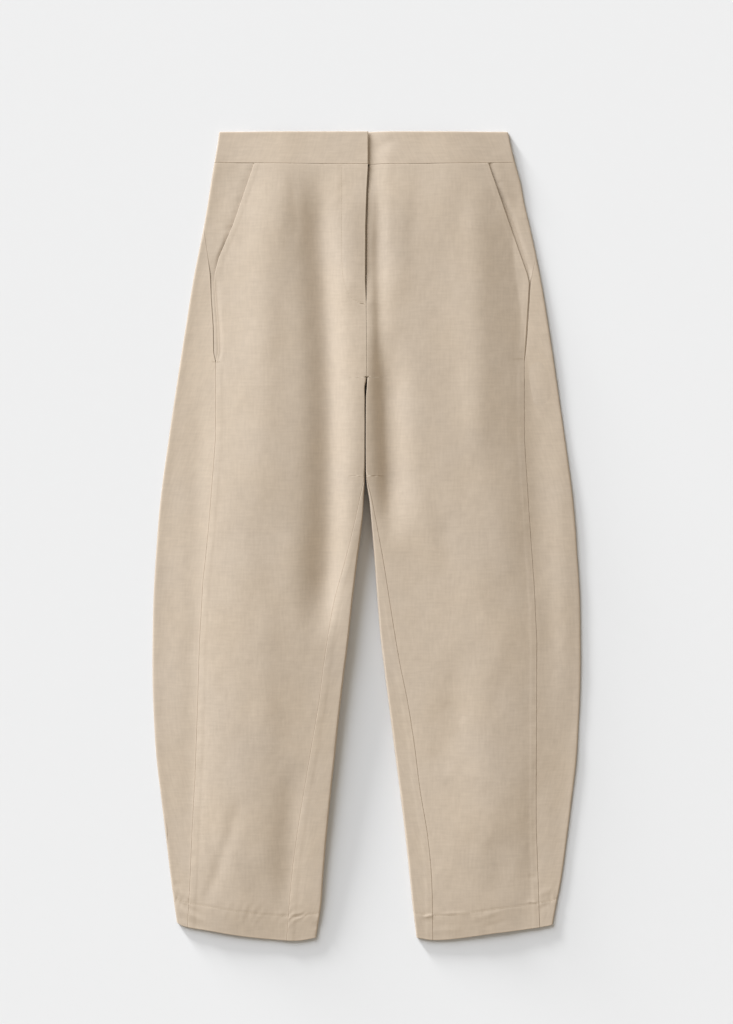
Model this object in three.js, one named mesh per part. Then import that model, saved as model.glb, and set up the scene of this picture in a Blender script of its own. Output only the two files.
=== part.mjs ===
// Baggy barrel-leg trousers in cotton twill, lying flat on a surface with the front up.
// Millimetres, +Z up, waist toward +Y, the wearer's right leg toward -X.
// Every cut piece is one closed wall of cloth. Sections run round each half of the garment:
// over the front from the outer edge to the middle, and back along the flat underside.
import * as THREE from 'three';

// Cloth and seams
const CLOTH_WALL = 1.2;
const BAND_WALL = 2.4;
const HEM_WALL = 2.4;
const SEAM_GAP = 0.3;
const LAYER_GAP = 0.7;

// Heights down the garment, from the waist's top edge
const BAND_DEPTH = 40.6;
const BAND_END_RISE = 2.8;
const CROTCH_DOWN = 305;
const CROTCH_X = 0.4;
const HEM_LEVEL = 1001.3;
const HEM_DEPTH = 31;
const HEM_TURN_STEP = 1;
const HALF_LENGTH = HEM_LEVEL / 2;

// Outline of the flat garment: distances from the centre line
const OUTLINE = [
  { down: 0, outR: 182.3, outL: 175.1 },
  { down: 20, outR: 185.2, outL: 179.4 },
  { down: 40, outR: 188.8, outL: 184.4 },
  { down: 63, outR: 192.5, outL: 190.7 },
  { down: 91, outR: 196.9, outL: 196.0 },
  { down: 120, outR: 202.0, outL: 202.9 },
  { down: 176, outR: 213.2, outL: 214.6 },
  { down: 233, outR: 222.5, outL: 223.9 },
  { down: 305, outR: 233.8, outL: 234.9 },
  { down: 381, outR: 245.1, outL: 246.0 },
  { down: 456, outR: 255.2, outL: 255.9 },
  { down: 530, outR: 261.2, outL: 261.4 },
  { down: 579, outR: 263.9, outL: 264.3 },
  { down: 628, outR: 264.9, outL: 265.0 },
  { down: 678, outR: 265.0, outL: 264.9 },
  { down: 727, outR: 263.3, outL: 263.0 },
  { down: 777, outR: 259.9, outL: 260.0 },
  { down: 826, outR: 254.1, outL: 254.3 },
  { down: 875, outR: 248.2, outL: 248.2 },
  { down: 925, outR: 242.2, outL: 241.3 },
  { down: 956, outR: 238.0, outL: 235.2 },
  { down: 983, outR: 234.2, outL: 230.2 },
];

// Inner edge of each leg below the crotch, from the centre line
const INNER_LEG = [
  { down: 305, right: 0.2, left: 1.0 },
  { down: 315, right: 2.0, left: 0.2 },
  { down: 332, right: 2.3, left: -0.9 },
  { down: 420, right: 2.3, left: -0.8 },
  { down: 437, right: 2.4, left: 0.9 },
  { down: 456, right: 3.3, left: 3.3 },
  { down: 480, right: 4.8, left: 5.6 },
  { down: 530, right: 11.2, left: 9.8 },
  { down: 579, right: 17.0, left: 13.4 },
  { down: 628, right: 22.2, left: 17.5 },
  { down: 678, right: 28.4, left: 23.6 },
  { down: 727, right: 34.1, left: 29.9 },
  { down: 777, right: 39.3, left: 36.2 },
  { down: 826, right: 44.6, left: 42.6 },
  { down: 875, right: 49.5, left: 48.4 },
  { down: 925, right: 53.6, left: 53.7 },
  { down: 956, right: 55.8, left: 56.8 },
  { down: 998, right: 62.4, left: 62.0 },
];

// Hem line of each leg: how far down it lies at each distance from the centre line
const HEM = [
  { across: 62, right: 997.6, left: 997.8 },
  { across: 84, right: 1001.3, left: 1000.7 },
  { across: 114, right: 1000.0, left: 998.6 },
  { across: 156, right: 995.7, left: 992.7 },
  { across: 196, right: 988.9, left: 987.6 },
  { across: 226, right: 983.6, left: 982.8 },
  { across: 237, right: 977.8, left: 979.5 },
];

// Loft of the cloth: height beside the outer edge, in mid leg and beside the inner edge,
// and how far in from the edge the fold takes to round over
const LOFT = [
  { down: 0, outer: 10.5, middle: 11.5, inner: 11.5, outerRound: 5, innerRound: 8 },
  { down: 40, outer: 11, middle: 12.5, inner: 12.5, outerRound: 5.5, innerRound: 8 },
  { down: 90, outer: 11.5, middle: 15.5, inner: 16.5, outerRound: 6, innerRound: 9 },
  { down: 180, outer: 12.5, middle: 19, inner: 21, outerRound: 7, innerRound: 11 },
  { down: 305, outer: 14, middle: 22, inner: 27, outerRound: 8, innerRound: 13 },
  { down: 400, outer: 14.5, middle: 23, inner: 27, outerRound: 8, innerRound: 14 },
  { down: 500, outer: 15, middle: 23, inner: 25, outerRound: 8, innerRound: 14 },
  { down: 620, outer: 15, middle: 22, inner: 22, outerRound: 8, innerRound: 12 },
  { down: 740, outer: 14, middle: 19, inner: 18, outerRound: 7.5, innerRound: 10 },
  { down: 860, outer: 12, middle: 15.5, inner: 14.5, outerRound: 6.5, innerRound: 7.5 },
  { down: 950, outer: 10.5, middle: 12.5, inner: 12, outerRound: 5.5, innerRound: 6 },
  { down: 1002, outer: 10, middle: 11.5, inner: 11.5, outerRound: 5.5, innerRound: 6 },
];

// Soft troughs (negative rise) and ridges of the front, one row each. x is from the centre line,
// the wearer's right negative. halfWidth is to where the rise has fallen to a third.
const FOLDS = [
  { top: 38, bottom: 640, fade: 95, xTop: -62, xMid: -38, xBottom: -56, halfWidth: 20, rise: -7.5 },
  { top: 48, bottom: 500, fade: 80, xTop: -128, xMid: -122, xBottom: -118, halfWidth: 30, rise: 2.6 },
  { top: 46, bottom: 122, fade: 18, xTop: -90, xMid: -89, xBottom: -88, halfWidth: 6, rise: -1.2 },
  { top: 60, bottom: 225, fade: 40, xTop: -18, xMid: -18, xBottom: -18, halfWidth: 14, rise: 1.2 },
  { top: 300, bottom: 930, fade: 120, xTop: -204, xMid: -212, xBottom: -215, halfWidth: 15, rise: -2.8 },
  { top: 260, bottom: 600, fade: 90, xTop: -17, xMid: -20, xBottom: -38, halfWidth: 14, rise: 2.4 },
  { top: 770, bottom: 985, fade: 70, xTop: -92, xMid: -96, xBottom: -102, halfWidth: 17, rise: -3.2 },
  { top: 815, bottom: 965, fade: 40, xTop: -154, xMid: -176, xBottom: -202, halfWidth: 9, rise: -1.0 },
  { top: 560, bottom: 790, fade: 80, xTop: -128, xMid: -124, xBottom: -120, halfWidth: 18, rise: 1.2 },
  { top: 175, bottom: 560, fade: 95, xTop: 22, xMid: 23, xBottom: 35, halfWidth: 17, rise: -9.5 },
  { top: 60, bottom: 225, fade: 50, xTop: 41, xMid: 41, xBottom: 42, halfWidth: 12, rise: 1.0 },
  { top: 50, bottom: 420, fade: 75, xTop: 136, xMid: 139, xBottom: 141, halfWidth: 20, rise: 2.6 },
  { top: 60, bottom: 700, fade: 110, xTop: 167, xMid: 186, xBottom: 205, halfWidth: 19, rise: -4.6 },
  { top: 330, bottom: 760, fade: 120, xTop: 234, xMid: 245, xBottom: 242, halfWidth: 14, rise: 1.8 },
  { top: 630, bottom: 800, fade: 60, xTop: 110, xMid: 109, xBottom: 106, halfWidth: 22, rise: -1.8 },
  { top: 760, bottom: 960, fade: 60, xTop: 206, xMid: 208, xBottom: 206, halfWidth: 13, rise: -1.6 },
  { top: 850, bottom: 960, fade: 40, xTop: 166, xMid: 164, xBottom: 160, halfWidth: 18, rise: -1.4 },
];

// Where the front panel ends at the pocket mouth and side seam, and where the back panel ends
const SIDE_SEAM = [
  { down: 40, frontR: 138.8, backR: 191, frontL: 150.9, backL: 188 },
  { down: 116, frontR: 165.1, backR: 202, frontL: 177.6, backL: 203 },
  { down: 156, frontR: 182.6, backR: 196.2, frontL: 191.7, backL: 209.8 },
  { down: 176, frontR: 187.6, backR: 193.6, frontL: 198.8, backL: 205.6 },
  { down: 187, frontR: 188.4, backR: 193.0, frontL: 201.4, backL: 203.4 },
  { down: 209, frontR: 186.6, backR: 192.0, frontL: 200.2, backL: 202.0 },
  { down: 242, frontR: 184.0, backR: 189.7, frontL: 198.1, backL: 199.9 },
  { down: 273, frontR: 182.8, backR: 189.3, frontL: 196.1, backL: 197.8 },
  { down: 286, frontR: 186.2, backR: 186.5, frontL: 195.3, backL: 195.6 },
  { down: 310, frontR: 186.2, backR: 186.5, frontL: 195.3, backL: 195.6 },
  { down: 380, frontR: 186.2, backR: 186.5, frontL: 195.3, backL: 195.6 },
  { down: 416, frontR: 188.8, backR: 189.1, frontL: 197.4, backL: 197.7 },
  { down: 489, frontR: 194.6, backR: 194.9, frontL: 202.2, backL: 202.5 },
  { down: 560, frontR: 201.8, backR: 202.1, frontL: 207.2, backL: 207.5 },
  { down: 630, frontR: 206.0, backR: 206.3, frontL: 210.4, backL: 210.7 },
  { down: 720, frontR: 208.7, backR: 209.0, frontL: 210.2, backL: 210.5 },
  { down: 800, frontR: 211.8, backR: 212.1, frontL: 209.8, backL: 210.1 },
  { down: 860, frontR: 215.2, backR: 215.5, frontL: 210.0, backL: 210.3 },
  { down: 931, frontR: 218.2, backR: 218.5, frontL: 212.6, backL: 212.9 },
  { down: 1002, frontR: 222.2, backR: 222.5, frontL: 214.9, backL: 215.2 },
];

// Inseam, brought forward on the front of each leg; above the first row it lies on the inner edge
const INSEAM = [
  { down: 426, right: 2.4, left: -0.4 },
  { down: 437, right: 4.6, left: 2.4 },
  { down: 456, right: 8.6, left: 7.0 },
  { down: 480, right: 13.6, left: 11.6 },
  { down: 530, right: 26.0, left: 20.8 },
  { down: 586, right: 40.8, left: 29.6 },
  { down: 652, right: 51.7, left: 40.4 },
  { down: 702, right: 58.2, left: 50.4 },
  { down: 751, right: 66.2, left: 58.4 },
  { down: 815, right: 77.0, left: 66.6 },
  { down: 870, right: 85.8, left: 75.6 },
  { down: 925, right: 92.6, left: 80.8 },
  { down: 1002, right: 98.8, left: 82.4 },
];

// Edges of the fly opening and the centre front seam below it, x from the centre line
const CENTRE_FRONT = [
  { down: 40, right: 1.8, left: 3.6 },
  { down: 74, right: -0.1, left: 2.2 },
  { down: 118, right: -1.5, left: 1.0 },
  { down: 185, right: -1.8, left: 0.3 },
  { down: 214, right: -0.45, left: -0.15 },
  { down: 280, right: 0.05, left: 0.35 },
  { down: 305, right: 0.25, left: 0.55 },
];
const FLY_END_DOWN = 214;

// How far the left edge of the opening lies below the right edge that laps over it
const UNDERLAP_SINK = [
  { down: 0, sink: 4.5 },
  { down: 48, sink: 4.5 },
  { down: 80, sink: 3.2 },
  { down: 175, sink: 3.0 },
  { down: 213, sink: 0 },
];
const UNDERLAP_RAMP_START = 2;
const UNDERLAP_RAMP_END = 30;

// Waistband ends at the centre front, x from the centre line
const BAND_LAP_X = 2.0;
const BAND_EXTENSION_X = -38;

// Fly shield, zip, hook and bar, all behind the fly
const TUCK_GAP = 0.5;
const SHIELD = {
  from: 43, to: 224, steps: 7, xRight: -34, xLeft: 9, columns: 4, sink: 3.2, wall: CLOTH_WALL,
};
const ZIP = {
  from: 46, to: 204, steps: 6, xRight: -24, xLeft: -2.5, columns: 2, sink: CLOTH_WALL + TUCK_GAP, wall: 1,
};
const HOOK = {
  from: 14, to: 24, steps: 1, xRight: -30, xLeft: -14, columns: 1, sink: BAND_WALL + 0.4, wall: 0.6,
};
const BAR = {
  from: 15, to: 23, steps: 1, xRight: -27, xLeft: -17, columns: 1, sink: BAND_WALL + 1.3, wall: 0.5,
};

// Pocket back: how far it reaches in under the front panel and past the end of the opening
const POCKET_REACH = 46;
const POCKET_TOP = 41.4;
const POCKET_BOTTOM = 299;
const POCKET_SINK = CLOTH_WALL + LAYER_GAP;
const POCKET_SEAM_GAP = 0.7;
const POCKET_MOUTH = [
  { down: 41, gapeR: 0, gapeL: 0.3 },
  { down: 90, gapeR: 0.2, gapeL: 2.2 },
  { down: 140, gapeR: 0.2, gapeL: 2.4 },
  { down: 185, gapeR: 0, gapeL: 0.6 },
  { down: 300, gapeR: 0, gapeL: 0.2 },
];

// Rows of the panels, by how far down they lie
const PANEL_TOP = BAND_DEPTH + SEAM_GAP;
const PANEL_ROWS = [
  PANEL_TOP, 62, 88, 110, 122, 134, 147, 161, 176, 187, 212, 242, 270, 285,
  294, 300, 303.5, CROTCH_DOWN,
  309, 318, 334, 358, 388, 420, 440, 462, 490, 525, 568, 612, 660, 708, 756, 804, 850, 892, 930,
  HEM_LEVEL - HEM_DEPTH - HEM_TURN_STEP, HEM_LEVEL - HEM_DEPTH, HEM_LEVEL - HEM_DEPTH / 2, HEM_LEVEL,
];
const FRONT_COLUMNS = 14;
const BACK_COLUMNS = 21;
const BAND_COLUMNS = 26;
const POCKET_COLUMNS = 7;

const clamp01 = (t) => Math.min(1, Math.max(0, t));
const mix = (a, b, t) => a + (b - a) * t;
const ease = (from, to, t) => {
  const u = clamp01((t - from) / (to - from));
  return u * u * (3 - 2 * u);
};

function rowsBetween(from, to, steps) {
  return Array.from({ length: steps + 1 }, (_, i) => mix(from, to, i / steps));
}

// A column of a table as a function: straight between rows, or a smooth curve through them
function straightThrough(rows, key, column) {
  return (t) => {
    let i = 0;
    while (i < rows.length - 2 && t > rows[i + 1][key]) i += 1;
    const u = clamp01((t - rows[i][key]) / (rows[i + 1][key] - rows[i][key]));
    return mix(rows[i][column], rows[i + 1][column], u);
  };
}

function smoothThrough(rows, key, column) {
  const at = rows.map((row) => row[key]);
  const value = rows.map((row) => row[column]);
  const last = rows.length - 1;
  const slope = value.map((_, i) => {
    const before = Math.max(0, i - 1);
    const after = Math.min(last, i + 1);
    return (value[after] - value[before]) / (at[after] - at[before]);
  });
  return (t) => {
    if (t <= at[0]) return value[0];
    if (t >= at[last]) return value[last];
    let i = 0;
    while (t > at[i + 1]) i += 1;
    const span = at[i + 1] - at[i];
    const u = (t - at[i]) / span;
    const rise = value[i + 1] - value[i];
    const leave = slope[i] * span - rise;
    const arrive = rise - slope[i + 1] * span;
    return value[i] + rise * u + u * (1 - u) * ((1 - u) * leave + u * arrive);
  };
}

const SIDES = {
  right: {
    sign: -1,
    outer: smoothThrough(OUTLINE, 'down', 'outR'),
    inner: smoothThrough(INNER_LEG, 'down', 'right'),
    hem: smoothThrough(HEM, 'across', 'right'),
    frontEnd: straightThrough(SIDE_SEAM, 'down', 'frontR'),
    backEnd: straightThrough(SIDE_SEAM, 'down', 'backR'),
    inseam: smoothThrough(INSEAM, 'down', 'right'),
    centreFront: straightThrough(CENTRE_FRONT, 'down', 'right'),
    gape: smoothThrough(POCKET_MOUTH, 'down', 'gapeR'),
  },
  left: {
    sign: 1,
    outer: smoothThrough(OUTLINE, 'down', 'outL'),
    inner: smoothThrough(INNER_LEG, 'down', 'left'),
    hem: smoothThrough(HEM, 'across', 'left'),
    frontEnd: straightThrough(SIDE_SEAM, 'down', 'frontL'),
    backEnd: straightThrough(SIDE_SEAM, 'down', 'backL'),
    inseam: smoothThrough(INSEAM, 'down', 'left'),
    centreFront: straightThrough(CENTRE_FRONT, 'down', 'left'),
    gape: smoothThrough(POCKET_MOUTH, 'down', 'gapeL'),
  },
};
const loft = {};
for (const column of ['outer', 'middle', 'inner', 'outerRound', 'innerRound']) {
  loft[column] = smoothThrough(LOFT, 'down', column);
}
const underlapSink = straightThrough(UNDERLAP_SINK, 'down', 'sink');

// A row is level across the garment except near the waist seam and the hem, which it follows
const WAIST_CURVE_END = 112;
const HEM_CURVE_START = 740;
const HEM_CURVE_FULL = 985;
function downAt(side, row, across) {
  const half = side.outer(BAND_DEPTH);
  const waistPull = row < BAND_DEPTH ? row / BAND_DEPTH : 1 - ease(BAND_DEPTH, WAIST_CURVE_END, row);
  const waistShift = -BAND_END_RISE * (across / half) ** 2 * waistPull;
  const hemShift = (side.hem(across) - HEM_LEVEL) * ease(HEM_CURVE_START, HEM_CURVE_FULL, row);
  return row + waistShift + hemShift;
}

// Height of the cloth's outer face before its edges round over
const FLATTEST = 6.5;
function loftAt(side, across, down) {
  const outer = side.outer(down);
  const inner = down > CROTCH_DOWN ? side.inner(down) : 0;
  const inward = clamp01((outer - across) / (outer - inner));
  const outerPart = mix(loft.outer(down), loft.middle(down), ease(0, 0.5, inward));
  const base = outerPart + (loft.inner(down) - loft.middle(down)) * ease(0.5, 1, inward);
  const x = side.sign * across;
  const foldRise = FOLDS.reduce((sum, fold) => {
    const along = clamp01((down - fold.top) / (fold.bottom - fold.top));
    const pull = 2 * fold.xMid - (fold.xTop + fold.xBottom) / 2;
    const upper = mix(fold.xTop, pull, along);
    const centre = mix(upper, mix(pull, fold.xBottom, along), along);
    const strength = ease(fold.top, fold.top + fold.fade, down)
      * (1 - ease(fold.bottom - fold.fade, fold.bottom, down));
    return sum + fold.rise * strength * Math.exp(-(((x - centre) / fold.halfWidth) ** 2));
  }, 0);
  return Math.max(FLATTEST, base + foldRise);
}

// Share of the full height reached at a distance in from a rounded edge
const rounding = (distance, round) => {
  const t = clamp01(distance / round);
  return Math.sqrt(1 - (1 - t) ** 2);
};

// Distance from the inner edge of the leg, or from the crotch point above it
function innerDistance(side, across, down) {
  if (down >= CROTCH_DOWN) return across - side.inner(down);
  return Math.hypot(side.sign * across - CROTCH_X, CROTCH_DOWN - down);
}

function edgeShare(side, across, down) {
  const outerShare = rounding(side.outer(down) - across, loft.outerRound(down));
  return outerShare * rounding(innerDistance(side, across, down), loft.innerRound(down));
}

// Half height of the rounded edge nearest to a place: the outer one, then the inner one
const OUTER_EDGE_SHARE = 0.3;
const INNER_EDGE_SHARE = 0.9;
function edgeMiddle(side, across, down) {
  const inward = clamp01((side.outer(down) - across) / side.outer(down));
  const towardInner = ease(OUTER_EDGE_SHARE, INNER_EDGE_SHARE, inward);
  return mix(loft.outer(down), loft.inner(down), towardInner) / 2;
}

function pointOnFront(side, row, across) {
  const down = downAt(side, row, across);
  const middle = edgeMiddle(side, across, down);
  const z = middle + (loftAt(side, across, down) - middle) * edgeShare(side, across, down);
  return new THREE.Vector3(side.sign * across, HALF_LENGTH - down, z);
}

function pointUnderneath(side, row, across) {
  const down = downAt(side, row, across);
  const z = edgeMiddle(side, across, down) * (1 - edgeShare(side, across, down));
  return new THREE.Vector3(side.sign * across, HALF_LENGTH - down, z);
}

// Where an edge that depends on the height down crosses a row, found by repeated steps
const CROSSING_STEPS = 6;
function crossing(side, row, edge) {
  let across = edge(row);
  for (let i = 0; i < CROSSING_STEPS; i += 1) across = edge(downAt(side, row, across));
  return across;
}

// Distances from the centre line at which a section is sampled, from the outer edge inward
const ROUND_STEPS = 10;
const SPAN_STEP = 2.5;
function sampleAcross(side, row, end) {
  const outer = crossing(side, row, side.outer);
  const outerRound = loft.outerRound(row);
  const innerRound = loft.innerRound(row);
  const outerSteps = Array.from({ length: ROUND_STEPS }, (_, k) => roundedIn(k));
  const innerSteps = outerSteps.slice().reverse();
  const from = outer - outerRound;
  const to = end + innerRound;
  return [
    ...outerSteps.map((share) => outer - outerRound * share),
    ...rowsBetween(from, to, Math.ceil((from - to) / SPAN_STEP)),
    ...innerSteps.map((share) => end + innerRound * share),
  ];
}
const roundedIn = (step) => 1 - Math.cos((step / ROUND_STEPS) * (Math.PI / 2));

// Runs of points joined into one line, with the way it heads and the running length at each.
// Each run starts where the one before it ends.
function lineThrough(...runs) {
  const places = runs.flatMap((run, k) => (k > 0 ? run.slice(1) : run));
  const last = places.length - 1;
  const points = places.map((at, i) => {
    const heading = places[Math.min(last, i + 1)].clone().sub(places[Math.max(0, i - 1)]);
    return { at, heading: heading.normalize() };
  });
  return withLengths(points);
}

function withLengths(points) {
  const length = [0];
  for (let i = 1; i < points.length; i += 1) {
    length.push(length[i - 1] + points[i].at.distanceTo(points[i - 1].at));
  }
  return { points, length, total: length[length.length - 1] };
}

function between(a, b, t) {
  return { at: a.at.clone().lerp(b.at, t), heading: a.heading.clone().lerp(b.heading, t) };
}

function pointAlong(line, travelled) {
  const { points, length } = line;
  let i = 0;
  while (i < points.length - 2 && travelled > length[i + 1]) i += 1;
  const span = length[i + 1] - length[i] || 1;
  return between(points[i], points[i + 1], clamp01((travelled - length[i]) / span));
}

function stretch(line, from, to) {
  const inside = line.points.filter((_, i) => line.length[i] > from && line.length[i] < to);
  return withLengths([pointAlong(line, from), ...inside, pointAlong(line, to)]);
}

// Running length at which a front line, drawn from the outer edge, reaches a place across
function lengthWhere(line, side, across) {
  const away = line.points.map((p) => p.at.x * side.sign);
  if (across >= away[0]) return 0;
  for (let i = 1; i < away.length; i += 1) {
    if (away[i] <= across) {
      const t = (away[i - 1] - across) / (away[i - 1] - away[i]);
      return mix(line.length[i - 1], line.length[i], t);
    }
  }
  return line.total;
}

// The same number of points on every row, closer where the section bends
const BEND_WEIGHT = 16;
function spread(line, columns) {
  const { points, length } = line;
  const weight = [0];
  for (let i = 1; i < points.length; i += 1) {
    const bend = points[i - 1].heading.angleTo(points[i].heading);
    weight.push(weight[i - 1] + length[i] - length[i - 1] + BEND_WEIGHT * bend);
  }
  const full = weight[weight.length - 1];
  return Array.from({ length: columns + 1 }, (_, j) => {
    const target = (full * j) / columns;
    let i = 0;
    while (i < weight.length - 2 && target > weight[i + 1]) i += 1;
    const span = weight[i + 1] - weight[i] || 1;
    return between(points[i], points[i + 1], clamp01((target - weight[i]) / span));
  });
}

// Closed wall of cloth from a grid of points on the outer face. sink moves a piece below the
// face of the garment, wall gives its thickness; both may change with row and place.
function clothWall(name, material, side, rows, lineOfRow, columns, sinkAt, wallAt) {
  const grid = rows.map((row) => spread(lineOfRow(row), columns));
  const lastRow = grid.length - 1;
  const outerFace = [];
  const innerFace = [];
  grid.forEach((line, i) => line.forEach(({ at: place, heading }, j) => {
    const above = grid[Math.max(0, i - 1)][j].at;
    const below = grid[Math.min(lastRow, i + 1)][j].at;
    const outward = below.clone().sub(above).cross(heading).normalize().multiplyScalar(-side.sign);
    const sink = sinkAt(place, rows[i]);
    outerFace.push(place.clone().addScaledVector(outward, -sink));
    innerFace.push(place.clone().addScaledVector(outward, -(sink + wallAt(rows[i]))));
  }));
  const width = columns + 1;
  const count = outerFace.length;
  const at = (i, j) => i * width + j;
  const triangles = [];
  const quad = (a, b, c, d) => triangles.push(a, b, c, a, c, d);
  for (let i = 0; i < lastRow; i += 1) {
    for (let j = 0; j < columns; j += 1) {
      quad(at(i, j), at(i, j + 1), at(i + 1, j + 1), at(i + 1, j));
      const inner = [at(i, j), at(i + 1, j), at(i + 1, j + 1), at(i, j + 1)].map((k) => k + count);
      quad(...inner);
    }
  }
  const rim = [];
  for (let j = 0; j < columns; j += 1) rim.push(at(0, j));
  for (let i = 0; i < lastRow; i += 1) rim.push(at(i, columns));
  for (let j = columns; j > 0; j -= 1) rim.push(at(lastRow, j));
  for (let i = lastRow; i > 0; i -= 1) rim.push(at(i, 0));
  rim.forEach((a, k) => {
    const b = rim[(k + 1) % rim.length];
    quad(b, a, a + count, b + count);
  });
  if (side.sign < 0) {
    for (let k = 0; k < triangles.length; k += 3) {
      [triangles[k + 1], triangles[k + 2]] = [triangles[k + 2], triangles[k + 1]];
    }
  }
  const geometry = new THREE.BufferGeometry();
  const flat = [...outerFace, ...innerFace].flatMap((p) => [p.x, p.y, p.z]);
  geometry.setAttribute('position', new THREE.Float32BufferAttribute(flat, 3));
  geometry.setIndex(triangles);
  geometry.computeVertexNormals();
  const mesh = new THREE.Mesh(geometry, material);
  mesh.name = name;
  return mesh;
}

const noSink = () => 0;
const clothWallAt = () => CLOTH_WALL;
const panelWallAt = (row) => (row >= HEM_LEVEL - HEM_DEPTH ? HEM_WALL : CLOTH_WALL);
const halfGap = SEAM_GAP / 2;

// The front face of one row, from the outer edge to the leg's inner edge or to a given place
function frontRun(side, row, end) {
  const stop = row >= CROTCH_DOWN ? crossing(side, row, side.inner) : end;
  return sampleAcross(side, row, stop).map((across) => pointOnFront(side, row, across));
}

// The underside of one row, from the leg's inner edge or the centre back seam to the outer edge
function undersideRun(side, row) {
  const seam = crossing(side, Math.max(row, FLY_END_DOWN), side.centreFront) * side.sign;
  const stop = row >= CROTCH_DOWN ? crossing(side, row, side.inner) : seam;
  return sampleAcross(side, row, stop).map((a) => pointUnderneath(side, row, a)).reverse();
}

// How far the left side of the fly sinks under the right, by place
function sinkBesideFly(place, row) {
  return underlapSink(row) * (1 - ease(UNDERLAP_RAMP_START, UNDERLAP_RAMP_END, place.x));
}

function inseamLength(side, row, front) {
  if (row < INSEAM[0].down) return front.total;
  return lengthWhere(front, side, crossing(side, row, side.inseam));
}

function frontPanelLine(side, row) {
  const centreEnd = crossing(side, row, side.centreFront) * side.sign;
  const run = frontRun(side, row, centreEnd);
  const front = lineThrough(run);
  const from = lengthWhere(front, side, crossing(side, row, side.frontEnd));
  if (row < CROTCH_DOWN) return stretch(front, from, front.total);
  const to = inseamLength(side, row, front) - halfGap;
  return stretch(lineThrough(run, undersideRun(side, row)), from, to);
}

function backPanelLine(side, row) {
  const run = frontRun(side, row, 0);
  const front = lineThrough(run);
  const sideSeam = lengthWhere(front, side, crossing(side, row, side.backEnd));
  const underside = undersideRun(side, row);
  const under = lineThrough(underside);
  if (row < CROTCH_DOWN) {
    return stretch(lineThrough(underside, run), 0, under.total + sideSeam);
  }
  const from = inseamLength(side, row, front) + halfGap;
  return stretch(lineThrough(run, underside, run), from, front.total + under.total + sideSeam);
}

function bandLine(side, end) {
  return (row) => {
    const under = sampleAcross(side, row, halfGap).map((a) => pointUnderneath(side, row, a));
    return lineThrough(under.reverse(), frontRun(side, row, end));
  };
}

// A strip hidden behind the fly, between two places across the right half's front
function strip(name, material, shape, sinkAt = () => shape.sink) {
  const side = SIDES.right;
  const lineOfRow = (row) => {
    const front = lineThrough(frontRun(side, row, -shape.xLeft));
    return stretch(front, lengthWhere(front, side, -shape.xRight), front.total);
  };
  const rows = rowsBetween(shape.from, shape.to, shape.steps);
  return clothWall(name, material, side, rows, lineOfRow, shape.columns, sinkAt, () => shape.wall);
}

function pocketLine(side) {
  return (row) => {
    const run = frontRun(side, row, 0);
    const front = lineThrough(run);
    const underside = undersideRun(side, row);
    const outerEdge = lineThrough(underside).total;
    const from = lengthWhere(front, side, crossing(side, row, side.backEnd)) + POCKET_SEAM_GAP;
    const to = lengthWhere(front, side, crossing(side, row, side.frontEnd) - POCKET_REACH);
    return stretch(lineThrough(underside, run), outerEdge + from, outerEdge + to);
  };
}

// The pocket back starts level with the back panel and dips under the front panel's edge.
// Below the fork of the seams it lies under both.
const FORK_START = 150;
const FORK_END = 182;
const POCKET_DIP = 14;
function pocketSink(side) {
  return (point, row) => {
    const deep = POCKET_SINK + side.gape(row);
    const atSeam = deep * ease(FORK_START, FORK_END, row);
    const seam = Math.min(side.backEnd(row), side.outer(row));
    const run = Math.max(2, Math.min(POCKET_DIP, seam - side.frontEnd(row)));
    return mix(atSeam, deep, ease(0, run, seam - point.x * side.sign));
  };
}

const twill = new THREE.MeshStandardMaterial({ color: 0xc4b5a0, roughness: 0.92, metalness: 0 });
const twillWrap = new THREE.MeshStandardMaterial({ color: 0xbcac95, roughness: 0.92, metalness: 0 });
const bandTwill = new THREE.MeshStandardMaterial({ color: 0xc9bba8, roughness: 0.9, metalness: 0 });
const tape = new THREE.MeshStandardMaterial({ color: 0xb3a48c, roughness: 0.8, metalness: 0 });
const metal = new THREE.MeshStandardMaterial({ color: 0x9a9a98, roughness: 0.35, metalness: 1 });

const trousers = new THREE.Group();
trousers.name = 'trousers';
const { right, left } = SIDES;

trousers.add(
  clothWall('front_right', twill, right, PANEL_ROWS, (row) => frontPanelLine(right, row),
    FRONT_COLUMNS, noSink, panelWallAt),
  clothWall('front_left', twill, left, PANEL_ROWS, (row) => frontPanelLine(left, row),
    FRONT_COLUMNS, sinkBesideFly, panelWallAt),
  clothWall('back_right', twillWrap, right, PANEL_ROWS, (row) => backPanelLine(right, row),
    BACK_COLUMNS, noSink, panelWallAt),
  clothWall('back_left', twillWrap, left, PANEL_ROWS, (row) => backPanelLine(left, row),
    BACK_COLUMNS, noSink, panelWallAt),
);

const BAND_STEPS = 3;
const bandRows = rowsBetween(0, BAND_DEPTH, BAND_STEPS);
const bandWallAt = () => BAND_WALL;
const bandSink = (point, row) => (point.z > BAND_WALL * 2 ? sinkBesideFly(point, row) : 0);
trousers.add(
  clothWall('waistband_right', bandTwill, right, bandRows, bandLine(right, -BAND_LAP_X),
    BAND_COLUMNS, noSink, bandWallAt),
  clothWall('waistband_left', bandTwill, left, bandRows, bandLine(left, BAND_EXTENSION_X),
    BAND_COLUMNS, bandSink, bandWallAt),
);

const betweenPocketEnds = (row) => row > POCKET_TOP && row < POCKET_BOTTOM;
const pocketRows = [POCKET_TOP, ...PANEL_ROWS.filter(betweenPocketEnds), POCKET_BOTTOM];
trousers.add(
  clothWall('pocket_right', twill, right, pocketRows, pocketLine(right),
    POCKET_COLUMNS, pocketSink(right), clothWallAt),
  clothWall('pocket_left', twill, left, pocketRows, pocketLine(left),
    POCKET_COLUMNS, pocketSink(left), clothWallAt),
);

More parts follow.
